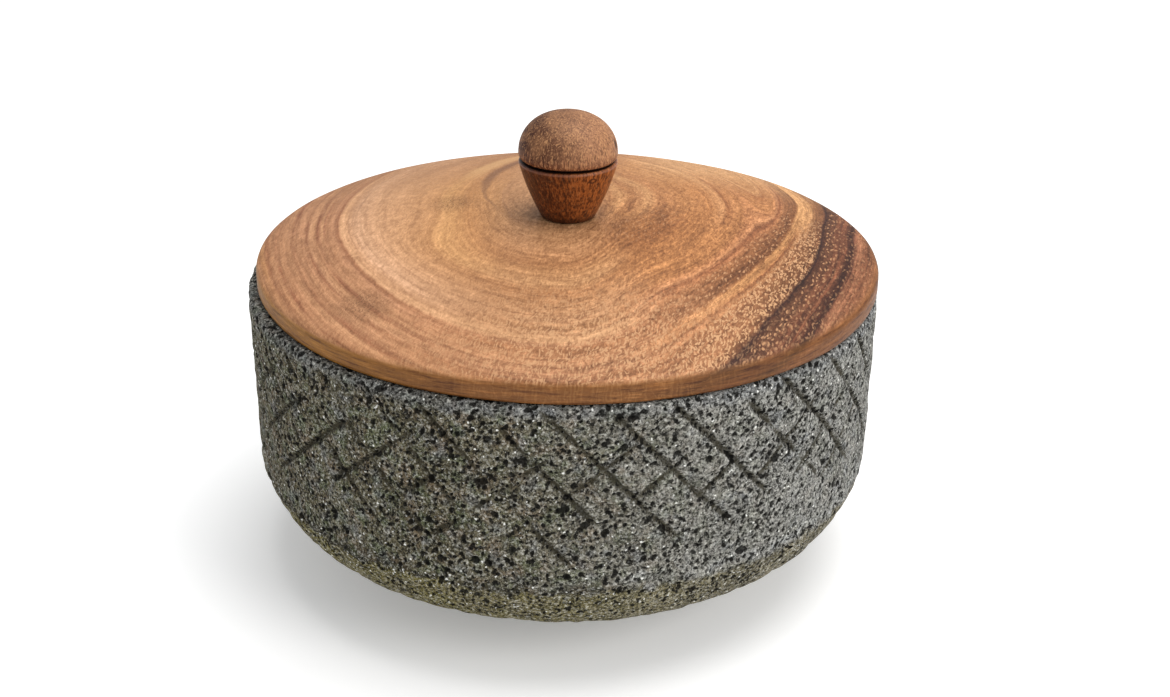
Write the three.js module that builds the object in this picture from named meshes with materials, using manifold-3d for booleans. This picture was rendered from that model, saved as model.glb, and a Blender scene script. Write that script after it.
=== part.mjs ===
// Lidded go stone bowl: a bowl carved from one block of volcanic stone, with a turned wooden lid,
// a turned wooden knob, and the countersunk wood screw that holds the knob from below.
// Millimetres, +Z up. The origin is the centre of the bowl's foot, on the table.

import * as THREE from "three";
import loadManifold from "manifold-3d";

// ---- bowl ----
const BOWL_HEIGHT = 86;
const RIM_RADIUS = 91.3;
const RIM_ROUND = 2.5;
const MOUTH_RADIUS = 77;
const MOUTH_ROUND = 1.5;
const ARRIS_HEIGHT = 36; // where the upright wall turns under
const ARRIS_LEAN = THREE.MathUtils.degToRad(8); // the underside's first angle from upright
const FOOT_RADIUS = 45;
const FOOT_RISE = THREE.MathUtils.degToRad(26); // the underside's last angle from flat
const ARRIS_FULLNESS = 23; // length of the underside curve's handle at the arris
const FOOT_FULLNESS = 30; // and at the foot
const FLOOR_THICKNESS = 14;
const HOLLOW_TURN_HEIGHT = 50; // the hollow is straight down to here
const HOLLOW_FLAT_RADIUS = 30; // flat middle of the hollow's floor

// ---- lid ----
const CLEARANCE = 0.3; // between pieces that rest on each other
const LID_RADIUS = 90;
const LID_SHIFT = 1.2; // the loose lid sits this far to +X of the bowl's axis
const LID_EDGE_HEIGHT = 5.9;
const LID_CROWN_RISE = 10.3;
const LID_LOWER_ROUND = 1;
const LID_UPPER_ROUND = 1.5;
const SPIGOT_PLAY = 1.5; // between the spigot and the mouth, all round
const SPIGOT_DEPTH = 3;
const KNOB_SEAT_RADIUS = 9.2; // flat on top of the crown, under the knob

// ---- knob ----
const KNOB_BASE_RADIUS = 8.5;
const KNOB_CONE_RADIUS = 14; // at the cone's wide top
const KNOB_CONE_FULLNESS = 0.3; // how far the cone bulges beyond a straight one
const KNOB_RADIUS = 14.3; // at the dome's widest
const KNOB_HEIGHT = 30.8;
const DOME_TUCK = 0.45; // how far the dome draws in below its widest
const DOME_WIDEST = 1.1; // how far its widest lies above the groove
const GROOVE_HEIGHT = 17.3; // from the knob's base to the groove's bottom
const GROOVE_WIDTH = 1.8;
const GROOVE_DEPTH = 2.4;
const GROOVE_BEVEL = 0.8;

// ---- knob screw ----
const SCREW_LENGTH = 30;
const SCREW_RADIUS = 2;
const SCREW_HEAD_RADIUS = 4.1;
const SCREW_HEAD_RIM = 0.3;
const SCREW_TIP = 3;
const SCREW_TIP_RADIUS = 0.4;
const SCREW_SUNK = 0.4; // the head lies this far inside the lid's underside
const RECESS_SPAN = 4.6;
const RECESS_WIDTH = 1;
const RECESS_DEPTH = 1.5;
const PILOT_EXTRA = 2; // the pilot hole runs this far past the screw's tip

// ---- fineness of the turned solids ----
const LARGE_SEGMENTS = 72;
const SMALL_SEGMENTS = 40;
const SCREW_SEGMENTS = 24;

// ---- heights that follow ----
const LID_BOTTOM = BOWL_HEIGHT + CLEARANCE;
const SPIGOT_BOTTOM = LID_BOTTOM - SPIGOT_DEPTH;
const CROWN_START = LID_BOTTOM + LID_EDGE_HEIGHT;
const crownHeight = (radius) =>
  CROWN_START + LID_CROWN_RISE * (1 - (radius / LID_RADIUS) ** 2);
const KNOB_SEAT = crownHeight(KNOB_SEAT_RADIUS);
const KNOB_BOTTOM = KNOB_SEAT + CLEARANCE;
const SCREW_BOTTOM = SPIGOT_BOTTOM + SCREW_SUNK;
const SCREW_HOLE_RADIUS = SCREW_RADIUS + CLEARANCE;

// ---- helpers ----

// A solid turned about Z from an outline of (radius, height).
function turned(outline, divisions, segments) {
  return new THREE.LatheGeometry(outline.getPoints(divisions), segments).rotateX(Math.PI / 2);
}

const manifold = await loadManifold();
manifold.setup();

function toSolid(geometry) {
  const flat = geometry.index ? geometry.toNonIndexed() : geometry;
  const mesh = new manifold.Mesh({
    numProp: 3,
    vertProperties: flat.getAttribute("position").array,
    triVerts: Uint32Array.from({ length: flat.getAttribute("position").count }, (_, i) => i),
  });
  mesh.merge();
  return new manifold.Manifold(mesh);
}

function toGeometry(solid) {
  const { vertProperties, triVerts } = solid.getMesh();
  return new THREE.BufferGeometry()
    .setAttribute("position", new THREE.BufferAttribute(vertProperties, 3))
    .setIndex(new THREE.BufferAttribute(triVerts, 1))
    .toNonIndexed();
}

function piece(name, geometry, color, roughness, metalness) {
  geometry.computeVertexNormals();
  const mesh = new THREE.Mesh(geometry, new THREE.MeshStandardMaterial({ color, roughness, metalness }));
  mesh.name = name;
  return mesh;
}

// ---- pieces ----

// Upright wall over a rounded underside, with a thick rim and a deep hollow.
function stoneBowl() {
  const outline = new THREE.Path();
  outline.moveTo(0, 0);
  outline.lineTo(FOOT_RADIUS, 0);
  outline.bezierCurveTo(
    FOOT_RADIUS + FOOT_FULLNESS * Math.cos(FOOT_RISE),
    FOOT_FULLNESS * Math.sin(FOOT_RISE),
    RIM_RADIUS - ARRIS_FULLNESS * Math.sin(ARRIS_LEAN),
    ARRIS_HEIGHT - ARRIS_FULLNESS * Math.cos(ARRIS_LEAN),
    RIM_RADIUS,
    ARRIS_HEIGHT,
  );
  outline.lineTo(RIM_RADIUS, BOWL_HEIGHT - RIM_ROUND);
  outline.quadraticCurveTo(RIM_RADIUS, BOWL_HEIGHT, RIM_RADIUS - RIM_ROUND, BOWL_HEIGHT);
  outline.lineTo(MOUTH_RADIUS + MOUTH_ROUND, BOWL_HEIGHT);
  outline.quadraticCurveTo(MOUTH_RADIUS, BOWL_HEIGHT, MOUTH_RADIUS, BOWL_HEIGHT - MOUTH_ROUND);
  outline.lineTo(MOUTH_RADIUS, HOLLOW_TURN_HEIGHT);
  outline.bezierCurveTo(
    MOUTH_RADIUS,
    (HOLLOW_TURN_HEIGHT + FLOOR_THICKNESS) / 2,
    (MOUTH_RADIUS + HOLLOW_FLAT_RADIUS) / 2,
    FLOOR_THICKNESS,
    HOLLOW_FLAT_RADIUS,
    FLOOR_THICKNESS,
  );
  outline.lineTo(0, FLOOR_THICKNESS);
  return piece("stone_bowl", turned(outline, 8, LARGE_SEGMENTS), 0x77746e, 0.95, 0);
}

// Shallow dome over an upright edge, with a spigot below that drops into the mouth, and a
// countersunk hole through the middle.
function lid() {
  const spigotRadius = MOUTH_RADIUS - SPIGOT_PLAY;
  const sinkRadius = SCREW_HEAD_RADIUS + CLEARANCE;
  const sinkTop = SCREW_BOTTOM + SCREW_HEAD_RIM + CLEARANCE * (Math.SQRT2 - 1);
  const crownRadius = LID_RADIUS - LID_UPPER_ROUND;
  const outline = new THREE.Path();
  outline.moveTo(sinkRadius, SPIGOT_BOTTOM);
  outline.lineTo(spigotRadius, SPIGOT_BOTTOM);
  outline.lineTo(spigotRadius, LID_BOTTOM);
  outline.lineTo(LID_RADIUS - LID_LOWER_ROUND, LID_BOTTOM);
  outline.quadraticCurveTo(LID_RADIUS, LID_BOTTOM, LID_RADIUS, LID_BOTTOM + LID_LOWER_ROUND);
  outline.lineTo(LID_RADIUS, CROWN_START - LID_UPPER_ROUND);
  outline.quadraticCurveTo(LID_RADIUS, CROWN_START, crownRadius, crownHeight(crownRadius));
  // The crown is a parabola, so one control point where its end tangents meet gives it exactly.
  outline.quadraticCurveTo(
    (crownRadius + KNOB_SEAT_RADIUS) / 2,
    CROWN_START + LID_CROWN_RISE * (1 - (crownRadius * KNOB_SEAT_RADIUS) / LID_RADIUS ** 2),
    KNOB_SEAT_RADIUS,
    KNOB_SEAT,
  );
  outline.lineTo(SCREW_HOLE_RADIUS, KNOB_SEAT);
  outline.lineTo(SCREW_HOLE_RADIUS, sinkTop + sinkRadius - SCREW_HOLE_RADIUS);
  outline.lineTo(sinkRadius, sinkTop);
  outline.lineTo(sinkRadius, SPIGOT_BOTTOM);
  return piece("lid", turned(outline, 8, LARGE_SEGMENTS), 0xa9713f, 0.5, 0);
}

// A cone that widens upwards to a V-groove, and a dome above it, with a blind pilot hole below.
function knob() {
  const groove = KNOB_BOTTOM + GROOVE_HEIGHT;
  const grooveFoot = groove - GROOVE_WIDTH / 2;
  const grooveHead = groove + GROOVE_WIDTH / 2;
  const coneTop = grooveFoot - GROOVE_BEVEL;
  const widest = grooveHead + DOME_WIDEST;
  const pilotTop = SCREW_BOTTOM + SCREW_LENGTH + PILOT_EXTRA;
  const outline = new THREE.Path();
  outline.moveTo(0, pilotTop);
  outline.lineTo(SCREW_HOLE_RADIUS, pilotTop - SCREW_HOLE_RADIUS);
  outline.lineTo(SCREW_HOLE_RADIUS, KNOB_BOTTOM);
  outline.lineTo(KNOB_BASE_RADIUS, KNOB_BOTTOM);
  outline.quadraticCurveTo(
    (KNOB_BASE_RADIUS + KNOB_CONE_RADIUS) / 2 + KNOB_CONE_FULLNESS,
    (KNOB_BOTTOM + coneTop) / 2,
    KNOB_CONE_RADIUS,
    coneTop,
  );
  outline.lineTo(KNOB_CONE_RADIUS - GROOVE_BEVEL, grooveFoot);
  outline.lineTo(KNOB_CONE_RADIUS - GROOVE_DEPTH, groove);
  outline.lineTo(KNOB_RADIUS - DOME_TUCK, grooveHead);
  outline.quadraticCurveTo(KNOB_RADIUS, grooveHead + DOME_WIDEST / 2, KNOB_RADIUS, widest);
  outline.absellipse(
    0, widest, KNOB_RADIUS, KNOB_BOTTOM + KNOB_HEIGHT - widest, 0, Math.PI / 2, false, 0,
  );
  return piece("knob", turned(outline, 6, SMALL_SEGMENTS), 0x8b6142, 0.6, 0);
}

// Countersunk wood screw, head down, with a cross recess.
function knobScrew() {
  const tip = SCREW_BOTTOM + SCREW_LENGTH;
  const headRim = SCREW_BOTTOM + SCREW_HEAD_RIM;
  const outline = new THREE.Path();
  outline.moveTo(0, SCREW_BOTTOM);
  outline.lineTo(SCREW_HEAD_RADIUS, SCREW_BOTTOM);
  outline.lineTo(SCREW_HEAD_RADIUS, headRim);
  outline.lineTo(SCREW_RADIUS, headRim + SCREW_HEAD_RADIUS - SCREW_RADIUS);
  outline.lineTo(SCREW_RADIUS, tip - SCREW_TIP);
  outline.lineTo(SCREW_TIP_RADIUS, tip);
  outline.lineTo(0, tip);
  let solid = toSolid(turned(outline, 1, SCREW_SEGMENTS));
  for (const [spanX, spanY] of [[RECESS_SPAN, RECESS_WIDTH], [RECESS_WIDTH, RECESS_SPAN]]) {
    const slot = new THREE.BoxGeometry(spanX, spanY, 2 * RECESS_DEPTH).translate(0, 0, SCREW_BOTTOM);
    solid = solid.subtract(toSolid(slot));
  }
  return piece("knob_screw", toGeometry(solid), 0xb9bcc0, 0.35, 1);
}

// ---- assembly ----

const liddedBowl = new THREE.Group();
liddedBowl.add(stoneBowl());

const lidAssembly = new THREE.Group();
lidAssembly.position.x = LID_SHIFT;
lidAssembly.add(lid(), knob(), knobScrew());
liddedBowl.add(lidAssembly);

export default liddedBowl;
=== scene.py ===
"""Looks of the lidded go stone bowl: carved volcanic stone, a turned wooden lid and knob, a steel screw.

Every piece is built in mesh code in the CAD's own frame, in metres, with the object at the origin, so that
object coordinates in a material are also the row frame's coordinates.
"""

import itertools
import math

import bpy
import numpy as np
from mathutils import Euler, Matrix, Vector


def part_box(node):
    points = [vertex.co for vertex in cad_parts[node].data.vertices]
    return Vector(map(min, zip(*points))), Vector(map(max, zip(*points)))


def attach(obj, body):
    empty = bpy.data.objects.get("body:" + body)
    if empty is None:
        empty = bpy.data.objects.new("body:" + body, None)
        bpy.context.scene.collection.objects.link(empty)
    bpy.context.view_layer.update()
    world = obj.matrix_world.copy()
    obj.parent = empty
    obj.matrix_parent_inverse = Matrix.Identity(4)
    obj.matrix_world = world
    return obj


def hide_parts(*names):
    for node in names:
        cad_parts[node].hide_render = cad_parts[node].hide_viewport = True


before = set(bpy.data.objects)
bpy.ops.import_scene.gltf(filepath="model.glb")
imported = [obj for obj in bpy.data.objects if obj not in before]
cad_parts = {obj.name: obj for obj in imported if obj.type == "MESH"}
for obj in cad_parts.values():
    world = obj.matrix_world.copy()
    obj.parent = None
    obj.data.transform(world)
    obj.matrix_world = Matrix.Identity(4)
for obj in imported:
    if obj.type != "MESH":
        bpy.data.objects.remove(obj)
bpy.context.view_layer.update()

MM = 0.001
TURN = 2 * math.pi

# ---- places from the frame ----

_, BOWL_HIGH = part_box("stone_bowl")
LID_LOW, LID_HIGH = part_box("lid")
KNOB_LOW, KNOB_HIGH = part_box("knob")
SCREW_LOW, SCREW_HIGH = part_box("knob_screw")

RIM_RADIUS = BOWL_HIGH.x
BOWL_HEIGHT = BOWL_HIGH.z
LID_CENTRE_X = (LID_LOW.x + LID_HIGH.x) / 2
LID_RADIUS = (LID_HIGH.x - LID_LOW.x) / 2
KNOB_RADIUS = (KNOB_HIGH.x - KNOB_LOW.x) / 2
SCREW_HEAD_RADIUS = (SCREW_HIGH.x - SCREW_LOW.x) / 2

# ---- stone bowl, metres ----

MOUTH_RADIUS = 77 * MM
RIM_ROUND = 2.5 * MM
MOUTH_ROUND = 1.5 * MM
ARRIS_HEIGHT = 36 * MM
ARRIS_LEAN = math.radians(8)
ARRIS_FULLNESS = 23 * MM
ARRIS_SOFTENING = 2.5 * MM
FOOT_RADIUS = 45 * MM
FOOT_RISE = math.radians(26)
FOOT_FULLNESS = 30 * MM
FOOT_ROUND = 2 * MM
FLOOR_THICKNESS = 14 * MM
HOLLOW_TURN_HEIGHT = 50 * MM
HOLLOW_FLAT_RADIUS = 30 * MM
STONE_COLUMNS = 1024
STONE_STEP = TURN * RIM_RADIUS / STONE_COLUMNS
RIM_TILT = 0.006  # the rim and the lid stand higher on the left: rise per metre of width
RIM_TILT_FROM = 50 * MM

# The carved lattice: two sets of V-grooves that lean opposite ways. Angles are measured from the front.
GROOVE_HALF_WIDTH = 0.95 * MM
GROOVE_DEPTH = 1.3 * MM
VALLEY_HALF_WIDTH = 2.4 * MM  # the stone is dressed down a little on both sides of each groove
VALLEY_DEPTH = 0.75 * MM
GROOVE_JITTER = 0.07  # how far a groove may lie to the side, as a share of the pitch
GROOVE_SKEW = 0.02  # how much a groove may turn about the middle of its length
GROOVE_MIDDLE = 22 * MM
GROOVE_FADE_IN = 2 * MM
GROOVE_FADE_OUT = 7 * MM
GROOVE_SETS = (
    # Lean 1 falls to the right. Angle and below place one groove. A set gains strength towards its strong
    # side (1 is the right), from one sine of the angle to another. Start and stop are mm below the rim.
    {"count": 34, "slope": math.radians(48), "lean": 1, "angle": math.radians(-2), "below": 2.3 * MM,
     "weak": 0.66, "strong_side": 1, "from": -0.05, "to": 0.3, "start": (0.5, 4.0), "stop": (36, 48)},
    {"count": 30, "slope": math.radians(39), "lean": -1, "angle": math.radians(-21.5), "below": 22.8 * MM,
     "weak": 0.6, "strong_side": -1, "from": 0.35, "to": 0.9, "start": (4, 18), "stop": (30, 48)},
)

# ---- vesicles ----

PIT_PITCH = 1.75 * MM
PIT_MEDIAN = 0.42  # mm
PIT_SPREAD = 0.34
PIT_STRETCH = 1.6
PIT_SMALLEST = 0.25 * MM
PIT_LARGEST = 1.1 * MM
PIT_REACH = 0.9 * MM  # how far from a pit its distance is still kept
PIT_STEEPNESS = 1.9
PIT_DEPTH = 1.1 * MM
CHIPS_BELOW_ARRIS = 4 * MM
CHIPS_REACH = 3.2 * MM
STONE_SEED = 19


# ---- small maths ----

def smoothstep(low, high, value):
    t = np.clip((value - low) / (high - low), 0, 1)
    return t * t * (3 - 2 * t)


def value_noise(points, cell, seed):
    """Smooth noise from -1 to 1 that changes over about one cell."""
    scaled = points / cell
    corner = np.floor(scaled).astype(np.int64)
    part = scaled - corner
    part = part * part * (3 - 2 * part)
    total = np.zeros(len(points))
    for offset in itertools.product((0, 1), repeat=3):
        at = corner + offset
        mixed = (at[:, 0] * 73856093) ^ (at[:, 1] * 19349663) ^ (at[:, 2] * 83492791) ^ (seed * 2654435761)
        mixed = ((mixed ^ (mixed >> 13)) * 1274126177) & 0xFFFFFFFF
        mixed = ((mixed ^ (mixed >> 16)) * 2246822519) & 0xFFFFFFFF
        weight = np.prod(np.where(offset, part, 1 - part), axis=1)
        total += weight * mixed / 0xFFFFFFFF
    return total * 2 - 1


def uneven(points, *layers):
    """A sum of noises in metres, each layer as (cell in mm, seed, height in mm)."""
    return sum(value_noise(points, cell * MM, seed) * height for cell, seed, height in layers) * MM


def bezier(start, start_handle, end_handle, end, count=40):
    t = np.linspace(0, 1, count)[:, None]
    points = [np.array(p, float) for p in (start, start_handle, end_handle, end)]
    return ((1 - t) ** 3 * points[0] + 3 * (1 - t) ** 2 * t * points[1]
            + 3 * (1 - t) * t ** 2 * points[2] + t ** 3 * points[3])


def corner(start, tip, end, count=8):
    """A rounded corner from start to end, towards tip."""
    t = np.linspace(0, 1, count)[:, None]
    start, tip, end = (np.array(p, float) for p in (start, tip, end))
    return (1 - t) ** 2 * start + 2 * (1 - t) * t * tip + t ** 2 * end


def respace(points, step):
    """The same outline with points about one step apart."""
    points = np.array(points, float)
    gaps = np.hypot(*np.diff(points, axis=0).T)
    points = points[np.concatenate(([True], gaps > 1e-9))]
    along = np.concatenate(([0], np.cumsum(np.hypot(*np.diff(points, axis=0).T))))
    places = np.linspace(0, along[-1], max(2, round(along[-1] / step) + 1))
    return np.column_stack([np.interp(places, along, points[:, axis]) for axis in (0, 1)])


def added(name, data):
    """A new object in the scene."""
    thing = bpy.data.objects.new(name, data)
    bpy.context.scene.collection.objects.link(thing)
    return thing


# ---- turned meshes ----

class Turned:
    """A mesh turned about a vertical axis from rows of (radius, height), each with its number of columns.

    A row with radius 0 is a pole. A row may have half or twice the columns of the one before.
    place(turned, row, share, face_share) gives the face corners' places on the texture map, from each
    corner's row, its share of the turn and that of its face's middle.
    """

    def __init__(self, rows, columns, centre_x=0.0):
        self.rows = np.array(rows, float)
        self.counts = [1 if radius < 1e-9 else n for (radius, _), n in zip(rows, columns)]
        self.first = np.concatenate(([0], np.cumsum(self.counts)))
        self.centre_x = centre_x
        self.row_of = np.repeat(np.arange(len(rows)), self.counts)
        self.share = np.concatenate([np.arange(n) / n for n in self.counts])
        # Column 0 is at the back, so that the seam is out of sight.
        self.angle = self.share * TURN - math.pi
        steps = np.hypot(*np.diff(self.rows, axis=0).T)
        self.along = np.concatenate(([0], np.cumsum(steps)))
        slope = np.gradient(self.rows, axis=0)
        slope /= np.maximum(np.hypot(*slope.T), 1e-12)[:, None]
        self.row_normals = np.column_stack([slope[:, 1], -slope[:, 0]])
        radius = self.rows[self.row_of, 0]
        out = np.column_stack([np.sin(self.angle), -np.cos(self.angle)])
        self.points = np.column_stack([radius[:, None] * out, self.rows[self.row_of, 1]])
        normal = self.row_normals[self.row_of]
        self.normals = np.column_stack([normal[:, :1] * out, normal[:, 1]])

    def push(self, distance):
        """Moves each point along its normal."""
        self.points += self.normals * np.asarray(distance)[:, None]

    def settle(self):
        """Tilts a piece of the lid the way the rim tilts."""
        self.points[:, 2] -= RIM_TILT * (self.points[:, 0] + self.centre_x)

    def _ring(self, row, other):
        """Faces between two rows, as (row, column) corners, with columns counted past the seam."""
        a, b = self.counts[row], self.counts[other]
        if a < b:
            return [face[::-1] for face in self._ring(other, row)]
        if b == 1:
            return [[(row, j), (row, j + 1), (other, 0)] for j in range(a)]
        if a == b:
            return [[(row, j), (row, j + 1), (other, j + 1), (other, j)] for j in range(a)]
        return [face for j in range(b) for face in (
            [(row, 2 * j), (row, 2 * j + 1), (other, j)],
            [(row, 2 * j + 1), (other, j + 1), (other, j)],
            [(row, 2 * j + 1), (row, 2 * j + 2), (other, j + 1)],
        )]

    def build(self, name, place, attributes=None):
        faces = [face for row in range(len(self.rows) - 1) for face in self._ring(row, row + 1)]
        sizes = np.array([len(face) for face in faces])
        row, column = np.array([point for face in faces for point in face]).T
        counts = np.array(self.counts)
        vertex = self.first[row] + column % counts[row]
        mesh = bpy.data.meshes.new(name)
        points = self.points + (self.centre_x, 0, 0)
        mesh.vertices.add(len(points))
        mesh.vertices.foreach_set("co", points.astype(np.float32).ravel())
        mesh.loops.add(len(vertex))
        mesh.loops.foreach_set("vertex_index", vertex.astype(np.int32))
        mesh.polygons.add(len(sizes))
        starts = np.concatenate(([0], np.cumsum(sizes)[:-1]))
        mesh.polygons.foreach_set("loop_start", starts.astype(np.int32))
        mesh.update(calc_edges=True)
        mesh.validate()
        face = np.repeat(np.arange(len(sizes)), sizes)
        share = column / counts[row]
        # A pole has no angle of its own: it takes the middle of its face.
        pole = counts[row] == 1
        middle = np.bincount(face, np.where(pole, 0, share)) / np.bincount(face, ~pole)
        share = np.where(pole, middle[face], share)
        layer = mesh.uv_layers.new(name="OFBake")
        layer.data.foreach_set("uv", place(self, row, share, middle[face]).astype(np.float32).ravel())
        for key, values in (attributes or {}).items():
            mesh.attributes.new(key, "FLOAT", "POINT").data.foreach_set("value", values.astype(np.float32))
        mesh.shade_smooth()
        return added(name, mesh)


MAP_MARGIN = 0.01  # left empty around each disc or strip


def two_disc_place(split_row):
    """Rows before split_row as a disc on the left half of the map, the rest as a disc on the right half."""
    def place(turned, row, share, _):
        total, lower = turned.along[-1], turned.along[split_row]
        first = row <= split_row
        reach = np.where(first, turned.along[row] / lower, (total - turned.along[row]) / (total - lower))
        reach *= 0.25 - MAP_MARGIN
        centre = np.where(first, 0.25, 0.75)
        return np.column_stack([centre + reach * np.sin(share * TURN), 0.5 + reach * np.cos(share * TURN)])
    return place


def strip_place(strips):
    """Cuts the turned surface into upright strips and stacks them on the map."""
    def place(turned, row, share, face_share):
        strip = np.floor(face_share * strips)
        across = share * strips - strip
        up = turned.along[row] / turned.along[-1]
        across, up = (MAP_MARGIN + part * (1 - 2 * MAP_MARGIN) for part in (across, up))
        return np.column_stack([across, (strip + up) / strips])
    return place


# ---- stone bowl ----

def stone_outline():
    """Rows of the stone from the foot's centre, up the outside, over the rim and down into the hollow."""
    foot = [(0, 0), (FOOT_RADIUS - FOOT_ROUND, 0)]
    foot_edge, arris = (FOOT_RADIUS, 0), (RIM_RADIUS, ARRIS_HEIGHT)
    under = bezier(
        foot_edge,
        (FOOT_RADIUS + FOOT_FULLNESS * math.cos(FOOT_RISE), FOOT_FULLNESS * math.sin(FOOT_RISE)),
        (RIM_RADIUS - ARRIS_FULLNESS * math.sin(ARRIS_LEAN),
         ARRIS_HEIGHT - ARRIS_FULLNESS * math.cos(ARRIS_LEAN)),
        arris)
    under = under[np.hypot(*(under - foot_edge).T) > FOOT_ROUND]
    under = under[np.hypot(*(under - arris).T) > ARRIS_SOFTENING]
    outside = np.vstack([
        corner(foot[-1], foot_edge, under[0]),
        under,
        corner(under[-1], arris, (RIM_RADIUS, ARRIS_HEIGHT + ARRIS_SOFTENING)),
        corner((RIM_RADIUS, BOWL_HEIGHT - RIM_ROUND), (RIM_RADIUS, BOWL_HEIGHT),
               (RIM_RADIUS - RIM_ROUND, BOWL_HEIGHT)),
        corner((MOUTH_RADIUS + MOUTH_ROUND, BOWL_HEIGHT), (MOUTH_RADIUS, BOWL_HEIGHT),
               (MOUTH_RADIUS, BOWL_HEIGHT - MOUTH_ROUND)),
    ])
    hollow = np.vstack([
        [(MOUTH_RADIUS, BOWL_HEIGHT - MOUTH_ROUND)],
        bezier((MOUTH_RADIUS, HOLLOW_TURN_HEIGHT),
               (MOUTH_RADIUS, (HOLLOW_TURN_HEIGHT + FLOOR_THICKNESS) / 2),
               ((MOUTH_RADIUS + HOLLOW_FLAT_RADIUS) / 2, FLOOR_THICKNESS),
               (HOLLOW_FLAT_RADIUS, FLOOR_THICKNESS)),
        [(0, FLOOR_THICKNESS)],
    ])
    return respace(foot, 4 * STONE_STEP), respace(outside, STONE_STEP), respace(hollow, 2 * STONE_STEP)


def groove_field(turned, rng):
    """Signed distance to the nearest groove's edge in metres, negative inside, and the cut depth."""
    angle, below = turned.angle, BOWL_HEIGHT - turned.points[:, 2]
    wander = uneven(turned.points, (14, 21, 0.5), (2.5, 22, 0.22))
    edge = np.full(len(angle), PIT_REACH)
    depth = np.zeros(len(angle))
    for number, groove in enumerate(GROOVE_SETS):
        pitch = TURN * RIM_RADIUS / groove["count"]
        run = groove["lean"] / math.tan(groove["slope"])
        across = (angle - groove["angle"]) * RIM_RADIUS - (below - groove["below"]) * run + wander
        index = np.round(across / pitch).astype(int) % groove["count"]
        jitter = rng.uniform(-GROOVE_JITTER, GROOVE_JITTER, groove["count"])[index] * pitch
        turn_in = rng.uniform(-GROOVE_SKEW, GROOVE_SKEW, groove["count"])[index] * (below - GROOVE_MIDDLE)
        off = across - np.round(across / pitch) * pitch + jitter + turn_in
        gap = np.abs(off) * math.sin(groove["slope"])
        side = np.sin(angle) * groove["strong_side"]
        strength = groove["weak"] + (1 - groove["weak"]) * smoothstep(groove["from"], groove["to"], side)
        strength *= rng.uniform(0.75, 1.1, groove["count"])[index]
        start = rng.uniform(*groove["start"], groove["count"])[index] * MM
        stop = rng.uniform(*groove["stop"], groove["count"])[index] * MM
        strength *= smoothstep(start - GROOVE_FADE_IN, start + GROOVE_FADE_IN, below)
        strength *= 1 - smoothstep(stop - GROOVE_FADE_OUT, stop + MM, below)
        patchy = value_noise(turned.points, 6 * MM, 31 + number)
        strength = np.clip(strength * (1 + 1.6 * patchy * (1.25 - strength)), 0, 1.1)
        half_width = GROOVE_HALF_WIDTH * (0.55 + 0.45 * strength)
        inside = np.clip(1 - gap / half_width, 0, 1)
        valley = np.clip(1 - gap / VALLEY_HALF_WIDTH, 0, 1) ** 2
        depth = np.maximum(depth, GROOVE_DEPTH * strength * inside ** 0.8)
        depth = np.maximum(depth, VALLEY_DEPTH * valley * np.clip(strength + 0.45, 0, 1))
        faded = PIT_REACH * (1 - np.clip(strength * 1.3, 0, 1))
        edge = np.minimum(edge, gap - half_width + faded)
    return edge, depth


def pit_field(turned, first_row, last_row, rng):
    """Signed distance to the nearest vesicle's edge in metres, negative inside, over the outside rows."""
    rows = turned.rows[first_row:last_row]
    columns = STONE_COLUMNS
    field = np.full((len(rows), columns), PIT_REACH)
    around, up = round(TURN * RIM_RADIUS / PIT_PITCH), round(len(rows) * STONE_STEP / PIT_PITCH)
    ring, place = np.divmod(np.arange(around * up), around)
    row = (ring + 0.5 + rng.uniform(-0.45, 0.45, len(ring))) / up * (len(rows) - 1)
    column = (place + 0.5 * (ring % 2) + rng.uniform(-0.45, 0.45, len(ring))) / around * columns % columns
    turn = column / columns * TURN
    near = rows[np.round(row).astype(int)]
    places = np.column_stack([near[:, 0] * np.sin(turn), near[:, 0] * np.cos(turn), near[:, 1]])
    crowd = value_noise(places, 8 * MM, 51) + 0.5 * value_noise(places, 3 * MM, 52)
    share = smoothstep(-1.5, 0.7, crowd) * near[:, 0] / RIM_RADIUS
    kept = rng.uniform(0, 1, len(ring)) < share
    row, column, count = row[kept], column[kept], int(kept.sum())
    radius = np.clip(rng.lognormal(math.log(PIT_MEDIAN), PIT_SPREAD, count) * MM, PIT_SMALLEST, PIT_LARGEST)
    stretch = rng.uniform(1, PIT_STRETCH, count)
    tilt = rng.uniform(0, math.pi, count)
    near_row, near_column = np.round(row).astype(int), np.round(column).astype(int)
    cell = TURN * rows[near_row, 0] / columns
    far = PIT_LARGEST * 1.3 + PIT_REACH  # a stretched pit is up to 1.3 times as long
    reach = math.ceil(far / STONE_STEP)
    for down in range(-reach, reach + 1):
        for side in range(-2 * reach, 2 * reach + 1):
            at_row = near_row + down
            keep = (at_row >= 0) & (at_row < len(rows)) & (np.abs(side) * cell < far)
            if not keep.any():
                continue
            dy = (at_row - row)[keep] * STONE_STEP
            dx = (near_column + side - column)[keep] * cell[keep]
            c, s = np.cos(tilt[keep]), np.sin(tilt[keep])
            long, wide = dx * c + dy * s, dy * c - dx * s
            root = np.sqrt(stretch[keep])
            gap = np.hypot(long / root, wide * root) - radius[keep]
            np.minimum.at(field, (at_row[keep], (near_column[keep] + side) % columns), gap)
    return field.ravel()


# How the stone lies on its texture map, in metres
MAP_SPAN = 0.34
STRIP_GAP = 2 * MM
FOOT_ON_MAP, FOOT_SHRUNK = (0.2, 0.31), 0.45
HOLLOW_ON_MAP, HOLLOW_SHRUNK = (0.052, 0.291), 0.34


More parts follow.
